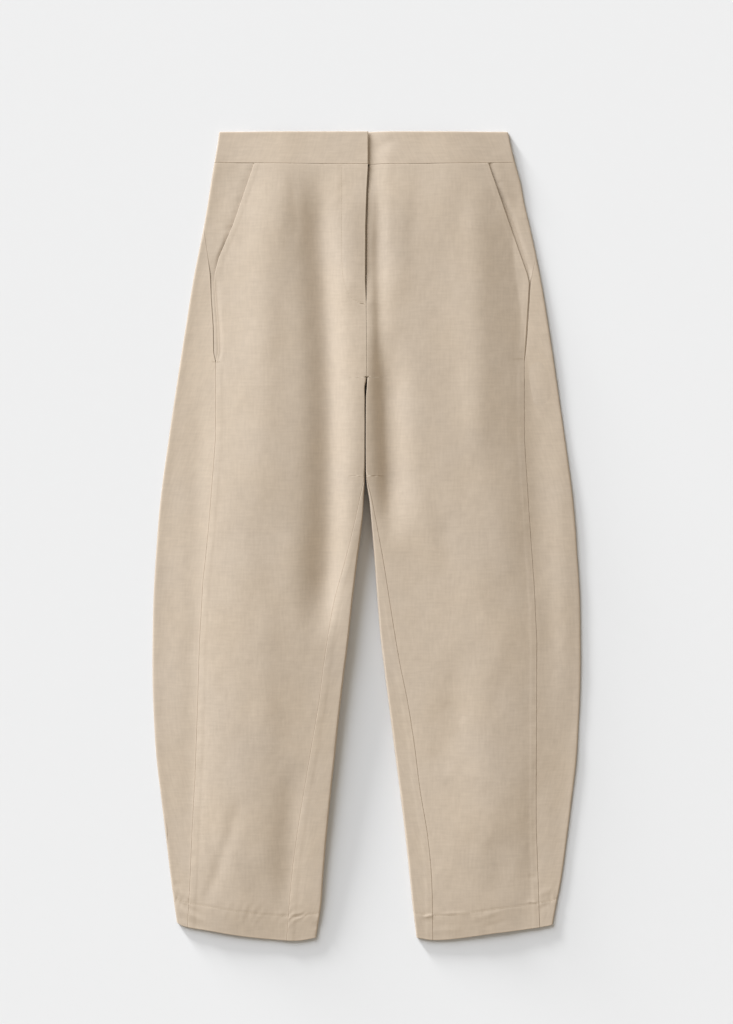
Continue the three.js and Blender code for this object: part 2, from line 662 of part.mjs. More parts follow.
const shieldSink = (place, row) => Math.max(SHIELD.sink, underlapSink(row) + CLOTH_WALL + TUCK_GAP);
trousers.add(
  strip('fly_shield', twill, SHIELD, shieldSink),
  strip('fly_zip', tape, ZIP),
  strip('waist_hook', metal, HOOK),
  strip('waist_bar', metal, BAR),
);

export default trousers;
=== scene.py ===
import math

import bpy
import numpy as np
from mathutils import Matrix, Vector
from mathutils.bvhtree import BVHTree


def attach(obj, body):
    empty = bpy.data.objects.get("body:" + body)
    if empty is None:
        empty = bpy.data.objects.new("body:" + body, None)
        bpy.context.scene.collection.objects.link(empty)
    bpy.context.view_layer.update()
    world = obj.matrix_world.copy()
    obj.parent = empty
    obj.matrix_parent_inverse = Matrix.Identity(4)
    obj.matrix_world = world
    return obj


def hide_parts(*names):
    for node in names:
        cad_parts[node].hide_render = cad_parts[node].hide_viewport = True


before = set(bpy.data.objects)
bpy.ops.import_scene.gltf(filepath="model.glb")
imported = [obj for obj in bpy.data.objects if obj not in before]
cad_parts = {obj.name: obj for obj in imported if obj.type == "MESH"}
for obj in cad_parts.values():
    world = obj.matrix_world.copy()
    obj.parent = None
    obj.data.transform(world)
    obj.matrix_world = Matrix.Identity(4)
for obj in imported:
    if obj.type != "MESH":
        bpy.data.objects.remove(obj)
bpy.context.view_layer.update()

MM = 0.001


def table(columns, text):
    """A small table as one array of numbers for each named column."""
    rows = [[float(word) for word in line.split()] for line in text.strip().splitlines()]
    return dict(zip(columns.split(), np.array(rows).T))


# ---------------------------------------------------------------- sizes of the garment
# Walls: one ply, the waistband, the doubled hem and the zip's tape, then those of the solids
CLOTH = 0.8
BAND_CLOTH = 1.8
HEM_CLOTH = 1.4
TAPE = 0.6
SOLID_WALL = 1.2
SOLID_BAND_WALL = 2.4
# Clearances: between cut pieces, beside the middle of a seam, of the front's edge past its side
# seam, and under what lies behind the fly
SEAM_GAP = 0.3
HALF_GAP = 0.05
PRESSED_OVER = 0.15
TUCK_GAP = 0.5
BAND_DEPTH = 40.6
BAND_END_RISE = 2.8
CROTCH_DOWN = 305
CROTCH_X = 0.4
HEM_LEVEL = 1001.3
HALF_LENGTH = HEM_LEVEL / 2
HEM_DEPTH = 31
HEM_STITCH = HEM_LEVEL - HEM_DEPTH
FLY_END = 214
WAIST_CURVE_END = 112
HEM_CURVE_START, HEM_CURVE_FULL = 740, 985
FLATTEST = 3
# Share of the cloth's height at which its outline lies, beside the rounded edges
EDGE_SHARE = 0.34

OUTLINE = table("down right left", """
    0 182.3 175.1
    20 185.2 179.4
    40 188.8 184.4
    63 192.5 190.7
    91 196.9 196.0
    120 202.0 202.9
    176 213.2 214.6
    233 222.5 223.9
    305 233.8 234.9
    381 245.1 246.0
    456 255.2 255.9
    530 261.2 261.4
    579 263.9 264.3
    628 264.9 265.0
    678 265.0 264.9
    727 263.3 263.0
    777 259.9 260.0
    826 254.1 254.3
    875 248.2 248.2
    925 242.2 241.3
    956 238.0 235.2
    983 234.2 230.2
""")
INNER_LEG = table("down right left", """
    305 -0.4 0.4
    309 0.3 0.3
    316 1.9 0.1
    332 1.8 -1.1
    420 1.9 -1.2
    437 2.2 0.1
    456 3.3 3.3
    480 4.8 5.6
    530 11.2 9.8
    579 17.0 13.4
    628 22.2 17.5
    678 28.4 23.6
    727 34.1 29.9
    777 39.3 36.2
    826 44.6 42.6
    875 49.5 48.4
    925 53.6 53.7
    956 55.8 56.8
    998 62.4 62.0
""")
HEM = table("across right left", """
    62 997.6 997.8
    84 1001.3 1000.7
    114 1000.0 998.6
    156 995.7 992.7
    196 988.9 987.6
    226 983.6 982.8
    237 977.8 979.5
""")
# Height of the front above the floor at the outer edge, half-way and at the inner edge, and how
# far in each edge is rounded
LOFT = table("down outer middle inner outer_round inner_round", """
    0 3.9 9 9.5 2 1
    40 3.9 12 12.5 2.2 1
    90 3 15 16.5 2.6 1
    180 2.8 16 18 2.6 1
    305 2.8 19 22.5 2.6 0.9
    400 2.8 19.8 22.5 2.6 0.9
    460 2.8 19.8 20.5 2.6 1.4
    530 2.8 19.4 17.5 2.6 2
    620 2.8 18.5 15 2.6 2.2
    740 2.8 16.5 11.8 2.6 2.4
    860 2.8 14.5 9 2.4 2.4
    950 3 9.2 6.4 2.2 2.2
    1002 3.1 3.6 3.4 1.8 1.8
""")
# Main folds down the garment, ridges above zero and troughs below. fade is the length over which
# each end dies away, lean the share of the width that lies on the wearer's right.
FOLDS = table("top bottom fade x_top x_mid x_bottom half_width lean rise", """
    38 640 95 -66 -47 -56 19 1.14 -11.6
    48 500 80 -128 -122 -118 30 1 2.6
    46 140 30 -92 -89 -86 6 1 -0.7
    60 225 40 -18 -18 -18 14 1 1.2
    300 930 120 -204 -212 -215 15 1 -1.9
    260 600 90 -14 -15 -30 14 1 1.4
    770 985 70 -92 -96 -102 17 1 -3.2
    815 965 40 -154 -176 -202 9 1 -1.0
    560 790 80 -128 -124 -120 18 1 1.2
    235 520 100 22 26 34 17 0.8 -12.6
    70 330 80 16 15 17 8 0.75 -2.8
    60 225 50 41 41 42 12 1 1.0
    50 420 75 136 139 141 20 1 2.6
    60 600 110 184 202 210 20 1 -2.8
    330 760 120 234 245 242 14 1 1.8
    630 800 60 110 109 106 22 1 -1.8
    760 960 60 206 208 206 13 1 -1.6
    850 960 40 166 164 160 18 1 -1.4
""")
SIDE_SEAM = table("down front_right back_right front_left back_left", """
    40 138.8 191 150.9 188
    116 165.1 202 177.6 203
    156 182.6 196.2 191.7 209.8
    176 187.6 193.6 198.8 205.6
    187 188.4 193.0 201.4 203.4
    209 186.6 192.0 200.2 202.0
    242 184.0 189.7 198.1 199.9
    273 182.8 189.3 196.1 197.8
    286 186.2 186.5 195.3 195.6
    310 186.2 186.5 195.3 195.6
    380 186.2 186.5 195.3 195.6
    416 188.8 189.1 197.4 197.7
    489 194.6 194.9 202.2 202.5
    560 201.8 202.1 207.2 207.5
    630 206.0 206.3 210.4 210.7
    720 208.7 209.0 210.2 210.5
    800 211.8 212.1 209.8 210.1
    860 215.2 215.5 210.0 210.3
    931 218.2 218.5 212.6 212.9
    1002 222.2 222.5 214.9 215.2
""")
INSEAM = table("down right left", """
    426 2.3 0.15
    437 4.6 2.4
    456 8.6 7.0
    480 13.6 11.6
    530 26.0 20.8
    586 40.8 29.6
    652 51.7 40.4
    702 58.2 50.4
    751 66.2 58.4
    815 77.0 66.6
    870 85.8 75.6
    925 92.6 80.8
    1002 98.8 82.4
""")
INSEAM_START = INSEAM["down"][0]
CENTRE_FRONT = table("down right left", """
    40 1.8 3.6
    74 -0.1 2.2
    118 -1.5 1.0
    185 -1.8 0.3
    214 -0.45 -0.15
    280 0.05 0.35
    305 0.25 0.55
""")
# How deep the left half lies under the fly's edge, and where across it comes up again
UNDERLAP = table("down sink", """
    0 4.5
    48 4.5
    80 3.2
    175 3.0
    213 0
""")
UNDERLAP_RAMP = (2, 30)
BAND_LAP_X = 2.0
BAND_EXTENSION_X = -38
SHIELD_X, SHIELD_DOWN = (-34, 9), (43, 224)
SHIELD_SINK = 3.2
ZIP_X, ZIP_DOWN = (-24, -2.5), (46, 204)
COIL_X, COIL_DOWN, COIL_PITCH = (-15.4, -11.0), (48, 202), 1.5
# Pocket backs: how far they reach inward, their ends, and the mouth. Its edge and the strip
# below it part at the fork; the cloth dips over a few millimetres past the front's edge.
POCKET_REACH = 46
POCKET_TOP, POCKET_BOTTOM = 40.9, 299
POCKET_SEAM_GAP = 0.15
POCKET_FORK = (150, 182)
POCKET_DIP = {"right": 3, "left": 11}
POCKET_DIP_TOP = 3
POCKET_DIP_LEAST = 2
POCKET_DIP_FULL = 90
POCKET_MOUTH = table("down right left", """
    41 0 0.3
    90 0.9 2.9
    140 0.9 3.2
    185 0 0.6
    300 0 0.2
""")

# Creases that the cloth shows over its main folds: soft strokes from one place to another on the
# front. half_width is to where the rise has fallen to a third, bow is how far the middle moves.
CREASES = table("x0 down0 x1 down1 half_width rise bow", """
    -247 932 -214 950 2.6 0.55 1
    -244 944 -204 968 2.4 -0.50 2
    -241 957 -196 979 2.8 0.60 1
    -238 968 -203 986 2.2 -0.40 0
    -238 930 -228 932 1.8 -0.50 0
    -178 978 -167 950 2.6 0.24 0
    -165 979 -156 954 2.8 0.18 0
    -155 980 -146 952 2.4 0.24 0
    -140 984 -134 962 2.8 0.14 0
    -196 845 -166 948 7.0 -0.55 6
    -180 838 -150 940 7.0 0.50 5
    -68 981 -56 982 1.6 -0.80 0
    -64 973 -50 969 2.4 0.40 0
    -60 990 -50 984 2.2 -0.50 0
    71 971 83 969 1.9 0.85 0
    66 975 84 976 2.2 -0.40 0
    200 921 210 923 2.0 -0.50 0
    199 952 211 954 2.0 0.50 0
    214 944 231 936 2.6 0.45 0
    212 962 228 956 2.4 -0.40 0
    92 968 130 966 2.2 0.30 0
    128 975 168 964 2.4 0.34 0
    140 985 176 976 2.6 -0.30 0
    72 990 118 986 3.0 0.28 0
    95 705 122 728 9.0 -0.55 0
    80 765 104 790 9.0 -0.50 0
    120 788 150 812 10.0 0.45 0
    146 880 176 920 9.0 -0.45 0
    106 850 132 872 8.0 0.35 0
    -226 520 -170 600 12.0 0.50 4
    -212 610 -160 680 12.0 -0.45 4
    -150 520 -112 640 14.0 0.50 -6
    -118 660 -84 760 12.0 -0.45 5
    -96 560 -72 640 10.0 0.40 0
    -140 700 -104 780 12.0 0.40 4
    62 440 84 540 12.0 0.60 -4
    98 470 118 580 14.0 -0.55 5
    150 430 168 560 14.0 0.55 -6
    60 590 84 680 12.0 -0.40 0
    176 600 150 690 12.0 0.45 0
    -182 58 -170 78 5.0 -0.75 3
    -176 72 -166 100 6.0 0.45 2
    -30 50 -44 104 7.0 0.35 0
    8 26 36 8 8.0 -0.80 0
    64 60 58 140 10.0 -0.45 0
    92 54 86 150 12.0 0.45 0
    118 60 112 170 11.0 -0.45 0
    -150 56 -142 160 12.0 -0.40 0
    -108 60 -104 190 9.0 0.40 0
    14 60 12 176 5.0 -0.70 0
    30 66 27 150 6.0 0.45 0
""")

# The curved seam that holds the fly, and the small close tacks
FLY_STITCH = table("x down", """
    -31.2 44
    -31.0 90
    -30.9 130
    -30.6 160
    -29.4 180
    -25.6 196
    -18.6 207
    -9.6 212.6
    -4.4 213.8
""")
TACKS = table("x0 down0 x1 down1", """
    -8.4 213.0 -3.0 214.2
    -190.2 284.6 -181.6 285.0
    180.4 280.9 195.0 280.5
""")


# ---------------------------------------------------------------- curves and sections
def ease(start, stop, t):
    u = np.clip((t - start) / (stop - start), 0, 1)
    return u * u * (3 - 2 * u)


def mix(a, b, t):
    return a + (b - a) * t


def smooth(rows, key, column):
    """A smooth curve through a column of a table, level past its ends."""
    at, value = rows[key], rows[column]
    slope = np.gradient(value)
    slope[1:-1] = (value[2:] - value[:-2]) / (at[2:] - at[:-2])
    slope[0] = (value[1] - value[0]) / (at[1] - at[0])
    slope[-1] = (value[-1] - value[-2]) / (at[-1] - at[-2])

    def curve(t):
        t = np.clip(t, at[0], at[-1])
        i = np.clip(np.searchsorted(at, t) - 1, 0, len(at) - 2)
        span = at[i + 1] - at[i]
        u = (t - at[i]) / span
        rise = value[i + 1] - value[i]
        leave, arrive = slope[i] * span - rise, rise - slope[i + 1] * span
        return value[i] + rise * u + u * (1 - u) * ((1 - u) * leave + u * arrive)

    return curve


def straight(rows, key, column):
    return lambda t: np.interp(t, rows[key], rows[column])


class Half:
    """One half of the garment: its outline, seams and pocket mouth as curves."""

    def __init__(self, name, sign):
        self.name, self.sign = name, sign
        self.outer = smooth(OUTLINE, "down", name)
        self.inner = smooth(INNER_LEG, "down", name)
        self.hem = smooth(HEM, "across", name)
        self.front_end = straight(SIDE_SEAM, "down", "front_" + name)
        self.back_end = straight(SIDE_SEAM, "down", "back_" + name)
        self.inseam = smooth(INSEAM, "down", name)
        self.centre_front = straight(CENTRE_FRONT, "down", name)
        self.gape = smooth(POCKET_MOUTH, "down", name)


RIGHT, LEFT = Half("right", -1), Half("left", 1)
loft = {column: smooth(LOFT, "down", column) for column in LOFT if column != "down"}
underlap = straight(UNDERLAP, "down", "sink")


def down_at(half, row, across):
    """Rows are level except beside the waist seam and the hem, which they follow."""
    pull = np.where(row < BAND_DEPTH, row / BAND_DEPTH, 1 - ease(BAND_DEPTH, WAIST_CURVE_END, row))
    waist = -BAND_END_RISE * (across / half.outer(BAND_DEPTH)) ** 2 * pull
    return row + waist + (half.hem(across) - HEM_LEVEL) * ease(HEM_CURVE_START, HEM_CURVE_FULL, row)


def loft_at(half, across, down):
    outer = half.outer(down)
    inner = np.where(down > CROTCH_DOWN, half.inner(down), 0)
    inward = np.clip((outer - across) / (outer - inner), 0, 1)
    base = mix(loft["outer"](down), loft["middle"](down), ease(0, 0.5, inward))
    base = base + (loft["inner"](down) - loft["middle"](down)) * ease(0.5, 1, inward)
    x = half.sign * across
    for top, bottom, fade, x_top, x_mid, x_bottom, half_width, lean, rise in zip(*FOLDS.values()):
        along = np.clip((down - top) / (bottom - top), 0, 1)
        pull = 2 * x_mid - (x_top + x_bottom) / 2
        centre = mix(mix(x_top, pull, along), mix(pull, x_bottom, along), along)
        strength = ease(top, top + fade, down) * (1 - ease(bottom - fade, bottom, down))
        width = half_width * np.where(x < centre, lean, 2 - lean)
        base = base + rise * strength * np.exp(-(((x - centre) / width) ** 2))
    return np.maximum(FLATTEST, base)


def rounding(distance, radius):
    t = np.clip(distance / radius, 0, 1)
    return np.sqrt(1 - (1 - t) ** 2)


def edge_share(half, across, down):
    """How much of its height the cloth has reached beside its rounded edges."""
    from_leg = across - half.inner(down)
    from_crotch = np.hypot(half.sign * across - CROTCH_X, CROTCH_DOWN - down)
    from_inner = np.where(down >= CROTCH_DOWN, from_leg, from_crotch)
    outer_share = rounding(half.outer(down) - across, loft["outer_round"](down))
    return outer_share * rounding(from_inner, loft["inner_round"](down))


def edge_middle(half, across, down):
    inward = np.clip((half.outer(down) - across) / half.outer(down), 0, 1)
    return EDGE_SHARE * mix(loft["outer"](down), loft["inner"](down), ease(0.3, 0.9, inward))


def places(half, across, down, z):
    return np.stack([half.sign * across, HALF_LENGTH - down, z], axis=1)


def on_front(half, row, across):
    down = down_at(half, row, across)
    middle = edge_middle(half, across, down)
    height = middle + (loft_at(half, across, down) - middle) * edge_share(half, across, down)
    return places(half, across, down, height)


def underneath(half, row, across):
    down = down_at(half, row, across)
    height = edge_middle(half, across, down) * (1 - edge_share(half, across, down))
    return places(half, across, down, height)


def crossing(half, row, edge):
    """Where an edge that depends on the height down crosses a row."""
    across = edge(row)
    for _ in range(6):
        across = edge(down_at(half, row, across))
    return float(across)


BEND_FADE = 22
ROUND_IN = 1 - np.cos(np.linspace(0, math.pi / 2, 15))[:-1]
SECTION_STEP = 1.6


def sample_across(half, row, end):
    """Distances from the centre line, from the outer edge inward, closer at the rounded edges."""
    outer = crossing(half, row, half.outer)
    from_outer, to_inner = float(loft["outer_round"](row)), float(loft["inner_round"](row))
    start, stop = outer - from_outer, end + to_inner
    steps = math.ceil((start - stop) / SECTION_STEP) + 1
    return np.concatenate([
        outer - from_outer * ROUND_IN,
        np.linspace(start, stop, steps),
        (end + to_inner * ROUND_IN)[::-1],
    ])


class Line:
    """Points along a section, with the way it heads and the running length at each. inner_bend is
    the share of its bends near the centre line that draw columns of the mesh closer."""
    inner_bend = 1.0

    def __init__(self, points, heading=None):
        self.points = points
        if heading is None:
            heading = np.empty_like(points)
            heading[1:-1] = points[2:] - points[:-2]
            heading[0], heading[-1] = points[1] - points[0], points[-1] - points[-2]
            heading /= np.maximum(np.linalg.norm(heading, axis=1, keepdims=True), 1e-9)
        self.heading = heading
        steps = np.linalg.norm(np.diff(points, axis=0), axis=1)
        self.length = np.concatenate([[0], np.cumsum(steps)])
        self.total = self.length[-1]

    def at(self, travelled):
        def along(values):
            return np.stack([np.interp(travelled, self.length, values[:, k]) for k in range(3)], axis=1)
        return Line(along(self.points), along(self.heading))

    def stretch(self, start, stop):
        inside = (self.length > start) & (self.length < stop)
        return self.at(np.concatenate([[start], self.length[inside], [stop]]))

    def where(self, across):
        """Running length at which the line first crosses a distance from the centre line."""
        beyond = np.abs(self.points[:, 0]) - across
        if beyond[0] == 0:
            return 0.0
        passed = np.nonzero(beyond * np.sign(beyond[0]) <= 0)[0]
        if not len(passed):
            return self.total
        i = passed[0]
        t = beyond[i - 1] / (beyond[i - 1] - beyond[i])
        return mix(self.length[i - 1], self.length[i], t)


def joined(*runs):
    return Line(np.concatenate([run if k == 0 else run[1:] for k, run in enumerate(runs)]))


def front_run(half, row, end):
    stop = crossing(half, row, half.inner) if row >= CROTCH_DOWN else end
    return on_front(half, row, sample_across(half, row, stop))


def under_run(half, row):
    seam = crossing(half, max(row, FLY_END), half.centre_front) * half.sign
    stop = crossing(half, row, half.inner) if row >= CROTCH_DOWN else seam
    return underneath(half, row, sample_across(half, row, stop))[::-1]


def seam_length(line, half, row, across):
    """Length along a front line to a seam; none if the seam lies beyond the outer edge."""
    if across >= abs(line.points[0, 0]):
        return 0.0
    return line.where(across)


def inseam_length(half, row, front):
    if row < INSEAM_START:
        return front.total
    return front.where(crossing(half, row, half.inseam))


def front_panel(half):
    def line(row):
        run = front_run(half, row, crossing(half, row, half.centre_front) * half.sign)
        front = Line(run)
        start = seam_length(front, half, row, crossing(half, row, half.front_end)) - PRESSED_OVER
        if row < CROTCH_DOWN:
            piece = front.stretch(start, front.total)
        else:
            stop = inseam_length(half, row, front) - HALF_GAP
            piece = joined(run, under_run(half, row)).stretch(start, stop)
        below_crotch = ease(0, BEND_FADE, row - CROTCH_DOWN)
        piece.inner_bend = below_crotch * (1 - ease(-BEND_FADE, 0, row - INSEAM_START))
        return piece
    return line


def back_panel(half):
    def line(row):
        run, under = front_run(half, row, 0), under_run(half, row)
        front = Line(run)
        side_seam = seam_length(front, half, row, crossing(half, row, half.back_end))
        under_total = Line(under).total
        if row < CROTCH_DOWN:
            piece = joined(under, run).stretch(0, under_total + side_seam)
        else:
            start = inseam_length(half, row, front) + HALF_GAP
            piece = joined(run, under, run).stretch(start, front.total + under_total + side_seam)
        piece.inner_bend = ease(0, BEND_FADE, row - INSEAM_START)
        return piece
    return line


def band_line(half, end):
    def line(row):
        under = underneath(half, row, sample_across(half, row, HALF_GAP))[::-1]
        return joined(under, front_run(half, row, end))
    return line


def pocket_line(half):
    def line(row):
        run, under = front_run(half, row, 0), under_run(half, row)
        front, outer_edge = Line(run), Line(under).total
        start = seam_length(front, half, row, crossing(half, row, half.back_end)) + POCKET_SEAM_GAP
        stop = front.where(crossing(half, row, half.front_end) - POCKET_REACH)
        return joined(under, run).stretch(outer_edge + start, outer_edge + stop)
    return line


def strip_line(x_right, x_left):
    """A strip across the right half's front, behind the fly."""
    def line(row):
        front = Line(front_run(RIGHT, row, -x_left))
        return front.stretch(front.where(-x_right), front.total)
    return line


# ---------------------------------------------------------------- relief of the cloth
def waves(x, down, size, seed, count=20):
    """Even random unevenness of about one size, the same in every run."""
    draw = np.random.default_rng(seed)
    total = np.zeros_like(x)
    for turn, stretch, start in draw.uniform(0, 1, (count, 3)):
        angle, length = turn * math.pi, size * (0.6 + 0.9 * stretch)
        total += np.cos(math.tau * ((x * math.cos(angle) + down * math.sin(angle)) / length + start))
    return total / math.sqrt(count / 2)


def edge_roll(distance, radius):
    """How far an edge turns down into its seam."""
    return radius - radius * rounding(distance, radius)


def creases_at(x, down):
    total = np.zeros_like(x)
    for x0, down0, x1, down1, half_width, rise, bow in zip(*CREASES.values()):
        length = math.hypot(x1 - x0, down1 - down0)
        ux, ud = (x1 - x0) / length, (down1 - down0) / length
        along = ((x - x0) * ux + (down - down0) * ud) / length
        aside = (x - x0) * -ud + (down - down0) * ux
        middle = bow * 4 * np.clip(along, 0, 1) * (1 - np.clip(along, 0, 1))
        fade = ease(-0.12, 0.3, along) * (1 - ease(0.7, 1.12, along))
        total += rise * fade * np.exp(-(((aside - middle) / half_width) ** 2))
    return total


def distance_to(path, x, down):
    """Distance from each place to a line through a table's rows."""
    steps = np.linspace(0, 1, 60)
    at = np.linspace(0, 1, len(path["down"]))
    px, pd = np.interp(steps, at, path["x"]), np.interp(steps, at, path["down"])
    near = np.full_like(x, 1e9)
    for x0, d0, x1, d1 in zip(px, pd, px[1:], pd[1:]):
        span = (x1 - x0) ** 2 + (d1 - d0) ** 2
        t = np.clip(((x - x0) * (x1 - x0) + (down - d0) * (d1 - d0)) / span, 0, 1)
        near = np.minimum(near, np.hypot(x - x0 - t * (x1 - x0), down - d0 - t * (d1 - d0)))
    return near


def body_relief(g):
    """Unevenness that runs on over every panel, front and underside."""
    soft = 0.17 * waves(g.x, g.down / 3.2, 70, 3) + 0.06 * waves(g.x, g.down / 2.4, 28, 5)
    fine = 0.02 * waves(g.x, g.down / 1.5, 12, 7)
    above = ease(0.1, 0.6, g.up)
    below = ease(0.3, 0.8, -g.up)
    hollow = np.maximum(0, waves(g.x, g.down / 2.2, 105, 11) - 0.25) + 0.4
    return above * (soft + fine + creases_at(g.x, g.down)) - below * 1.1 * hollow * g.inside


def hem_relief(g):
    """The stitched hem: a shallow groove and the puckers that hang from it."""
    off = g.row - HEM_STITCH
    groove = -0.17 * np.exp(-((off / 1.4) ** 2))
    strength = np.clip(0.05 + 0.13 * waves(g.run, off * 0, 46, 21), 0, 0.3)
    lean = g.run + 0.75 * off + 2.5 * waves(g.run, off, 34, 23)
    pucker = strength * np.cos(math.tau * lean / 11) * np.exp(-((off / 11) ** 2))
    swell = 0.06 * np.exp(-(((off - 5) / 4) ** 2))
    return (groove + pucker + swell) * ease(0.0, 0.5, np.abs(g.up))


def seam_relief(distance, run_along, seed):
    """Allowance pressed to the higher side of a seam, with small puckers along it."""
    pressed = 0.30 * (1 - ease(6.0, 10.0, distance))
    drag = 0.05 * waves(run_along, distance * 0.6, 15, seed) * np.exp(-((distance / 7) ** 2))
    return pressed + drag


def panel_edges(g, high, low):
    """Turned edges at every seam; the inner face stays, so the shell thins towards them."""
    sides = edge_roll(high, 0.8 if g.left else 0.5) + edge_roll(low, 0.25)
    return sides + edge_roll(g.top, 0.35) + edge_roll(g.bottom, 0.8)


def front_relief(half):
    def relief(g):
        below_pocket = ease(282, 300, g.row)
        side = seam_relief(g.start, g.row, 31) * below_pocket
        free = 1 - ease(*((168, 186) if half is RIGHT else (262, 280)), g.row)
        mouth = 0.22 * (1 - ease(4.5, 8.5, g.start)) * free
        below_fly = ease(215, 240, g.row) * (1 - ease(300, 340, g.row))
        centre = 0.25 * seam_relief(g.end, g.row, 35) * below_fly
        level = body_relief(g) + hem_relief(g) + side + mouth + centre
        if half is RIGHT:
            near = distance_to(FLY_STITCH, g.x, g.down)
            level += -0.22 * np.exp(-((near / 1.3) ** 2)) + 0.05 * np.exp(-(((near - 4) / 3) ** 2))
            puff = ease(0, 6, g.end) * (1 - ease(22, 30, g.end)) * (1 - ease(196, 214, g.row))
            level += 0.15 * puff
            sewn = ease(176, 196, g.row) * (1 - ease(276, 292, g.row))
            level += -0.75 * sewn * np.exp(-(((g.start - 2.4) / 2.6) ** 2))
        bag = np.abs(g.row - (286 if half is RIGHT else 283)) / 1.6
        bag_line = np.exp(-(bag ** 2)) * (1 - ease(14, 24, g.start)) * ease(0, 4, g.start)
        level += -0.12 * bag_line
        return level, panel_edges(g, g.start, g.end)
    return relief


def back_relief(g):
    inseam = seam_relief(g.start, g.row, 43) * ease(430, 470, g.row)
    return body_relief(g) + hem_relief(g) + inseam, panel_edges(g, g.start, g.end)


def band_relief(g):
    soft = 0.07 * waves(g.x, g.down, 46, 51) + 0.03 * waves(g.x, g.down, 17, 53)
    level = ease(0.2, 0.7, np.abs(g.up)) * soft + creases_at(g.x, g.down) * ease(0.3, 0.7, g.up)
    level = level - 0.12 * np.exp(-((g.bottom / 3.0) ** 2)) + 0.08 * np.exp(-(((g.top - 3) / 2.5) ** 2))
    ends = edge_roll(g.end, 1.2) + edge_roll(g.start, 0.4)
    return level, ends + edge_roll(g.top, 1.3) + edge_roll(g.bottom, 0.35)


def pocket_relief(g):
    soft = 0.12 * waves(g.x, g.down / 1.5, 44, 61) + 0.03 * waves(g.x, g.down, 16, 63)
    facing = -0.35 * ease(27.5, 29, g.start)
    strip = 0.45 * np.exp(-(((g.start - 2.8) / 2.4) ** 2)) * ease(180, 205, g.row)
    return soft * ease(0, 8, g.start) + facing + strip, edge_roll(g.start, 0.2) + edge_roll(g.end, 0.5)


def plain_relief(g):
    return 0.06 * waves(g.x, g.down, 24, 71), edge_roll(g.start, 0.4) + edge_roll(g.end, 0.4)


# ---------------------------------------------------------------- shells
FINE_STEPS = np.array([0, 0.22, 0.5, 0.85, 1.4, 2.2, 3.4])
FINE_REACH = FINE_STEPS[-1]
# What draws the columns of a mesh closer, as added lengths: for each radian that the line turns,
# for each millimetre that it climbs or runs, and for each within the part next to its ends
BEND_WEIGHT = 12
CLIMB_WEIGHT = 0.5
RUN_WEIGHT = 0.02
END_WEIGHT, END_PART = 1.3, 26
INNER_PART = 70
# Where lines change their course, two rows lie this close; what joins them is not shaded smooth
ROW_PAIR = 0.04
CLOSEST_ROWS = 0.1
GRAIN_ACROSS = 130
TURNED_LIMIT = 0.8
RUBBED_WIDTH = 2.2
COLUMNS = {"front": 74, "back": 104, "waistband": 150, "pocket": 24, "shield": 18, "zip": 12}


def graded(start, stop, step, close=()):
    """Rows from start to stop, close together at both ends and about the given places."""
    count = max(2, math.ceil((stop - start - 2 * FINE_REACH) / step) + 1)
    rows = np.linspace(start + FINE_REACH, stop - FINE_REACH, count)
    parts = [start + FINE_STEPS[:-1], rows, stop - FINE_STEPS[:-1]]
    for centre, reach, gap in close:
        rows = rows[np.abs(rows - centre) > reach]
        parts[1] = rows
        parts.append(np.arange(centre - reach, centre + reach + gap / 2, gap))
    rows = np.unique(np.round(np.concatenate(parts), 4))
    return rows[(rows >= start) & (rows <= stop)]


def spread(line, columns):
    """Points along a line: close at both ends, then even, with more where it bends."""
    turned = np.clip((line.heading[1:] * line.heading[:-1]).sum(axis=1), -1, 1)
    level = np.hypot(*np.diff(line.points[:, :2], axis=0).T)
    step = np.diff(line.length)
    share = np.where(np.abs(line.points[1:, 0]) < INNER_PART, line.inner_bend, 1)
    bend = BEND_WEIGHT * np.arccos(turned) + CLIMB_WEIGHT * (step - level)
    from_end = np.minimum(line.length[1:], line.total - line.length[:-1])
    near_end = np.where(from_end < END_PART, END_WEIGHT * step, 0)
    weight = np.concatenate([[0], np.cumsum(level + share * bend + RUN_WEIGHT * step + near_end)])
    first, last = np.interp([FINE_REACH, line.total - FINE_REACH], line.length, weight)
    middle = np.interp(np.linspace(first, last, columns + 1), weight, line.length)
    travelled = np.concatenate([FINE_STEPS[:-1], middle, (line.total - FINE_STEPS[:-1])[::-1]])
    return line.at(travelled), travelled


class Grid:
    """What the relief is worked out from, one array for each measure of the outer face."""


def lay_out(half, rows, line_of_row, columns):
    g = Grid()
    g.left = half is LEFT
    points, headings, runs, totals, grain = [], [], [], [], []
    for row in rows:
        line = line_of_row(row)
        spaced, travelled = spread(line, columns)
        points.append(spaced.points)
        headings.append(spaced.heading)
        runs.append(travelled)
        totals.append(line.total)
        grain.append(line.where(GRAIN_ACROSS) if abs(line.points[:, 0]).max() > GRAIN_ACROSS else 0)
    g.points, headings = np.array(points), np.array(headings)
    g.start = np.array(runs)
    g.end = np.array(totals)[:, None] - g.start
    g.run = g.start - np.array(grain)[:, None]
    g.row = np.repeat(rows[:, None], g.start.shape[1], axis=1)
    g.top, g.bottom = g.row - rows[0], rows[-1] - g.row
    along = np.zeros_like(g.points)
    step = np.diff(g.points, axis=0) * (np.diff(rows) > CLOSEST_ROWS)[:, None, None]
    along[1:] += step
    along[:-1] += step
    outward = -half.sign * np.cross(along, headings)
    g.outward = outward / np.maximum(np.linalg.norm(outward, axis=2, keepdims=True), 1e-9)
    g.x, g.down, g.z = g.points[..., 0], HALF_LENGTH - g.points[..., 1], g.points[..., 2]
    g.up = g.outward[..., 2]
    inner_side = np.minimum(ease(0, 30, g.top), ease(0, 45, g.bottom))
    g.inside = inner_side * ease(0, 25, g.start) * ease(0, 25, g.end)
    return g


